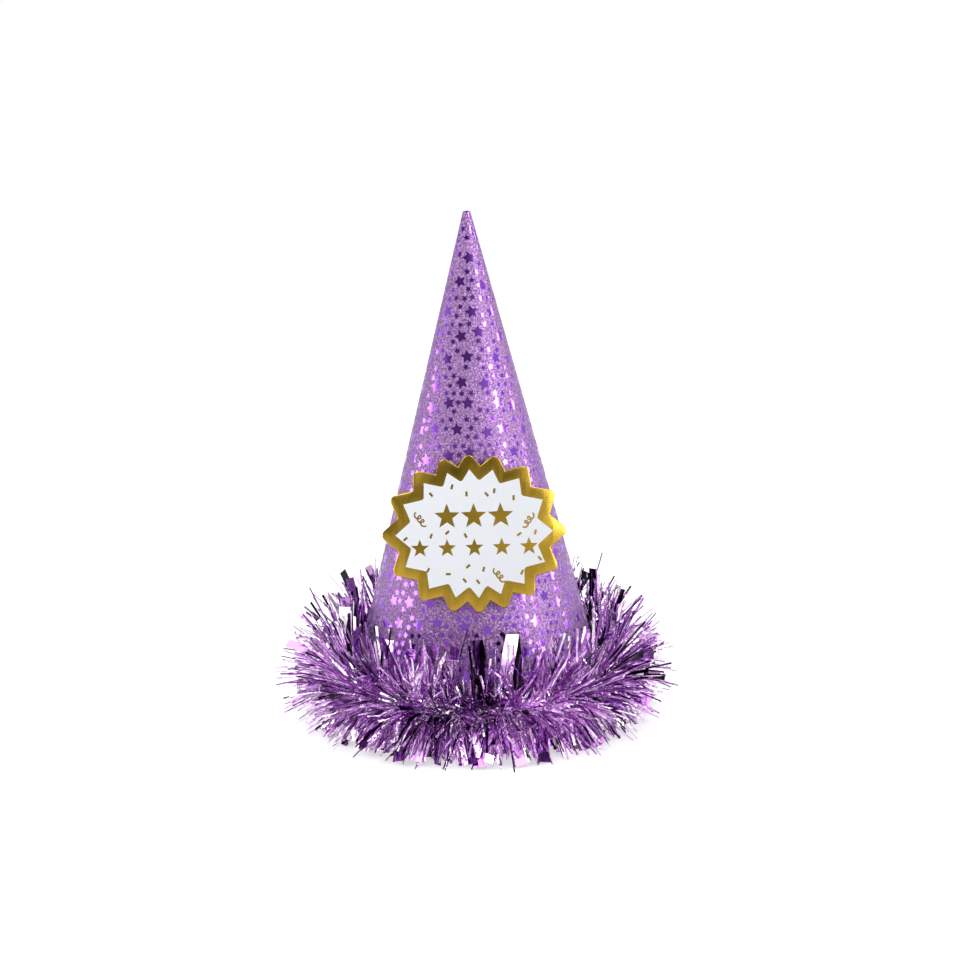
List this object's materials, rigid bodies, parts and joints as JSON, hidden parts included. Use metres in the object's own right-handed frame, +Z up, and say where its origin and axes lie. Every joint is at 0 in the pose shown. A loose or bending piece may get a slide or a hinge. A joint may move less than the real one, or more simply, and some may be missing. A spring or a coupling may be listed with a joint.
{
  "type": "party hat",
  "caption": "Tall cone party hat of foil-faced card with a glued lap, a star-shaped badge on the front and a tinsel garland round the foot.",
  "frame": {"origin": "centre of the rim's plane, on the surface that the hat stands on", "axes": "+Z up along the cone's axis to the tip, -Y towards the badge, +X to the right of the badge as it is looked at"},
  "size_m": [0.18, 0.1754, 0.2281],
  "materials": {
    "star_foil_card": "mirror foil with a star pattern, glossy",
    "gold_foil_card": "gold foil, glossy",
    "white_print": "printed, satin",
    "foam_tape": "foam, matte",
    "core_wire": "drawn wire",
    "tinsel_film": "metallised film, mirror gloss",
    "hot_glue": "set glue, satin"
  },
  "bodies": {
    "root": {"cone": "star_foil_card", "badge_card": "gold_foil_card", "badge_print": "white_print", "foam_pads": "foam_tape", "tinsel_core": "core_wire", "tinsel_fringe": "tinsel_film", "glue_beads": "hot_glue"}
  },
  "joints": []
}
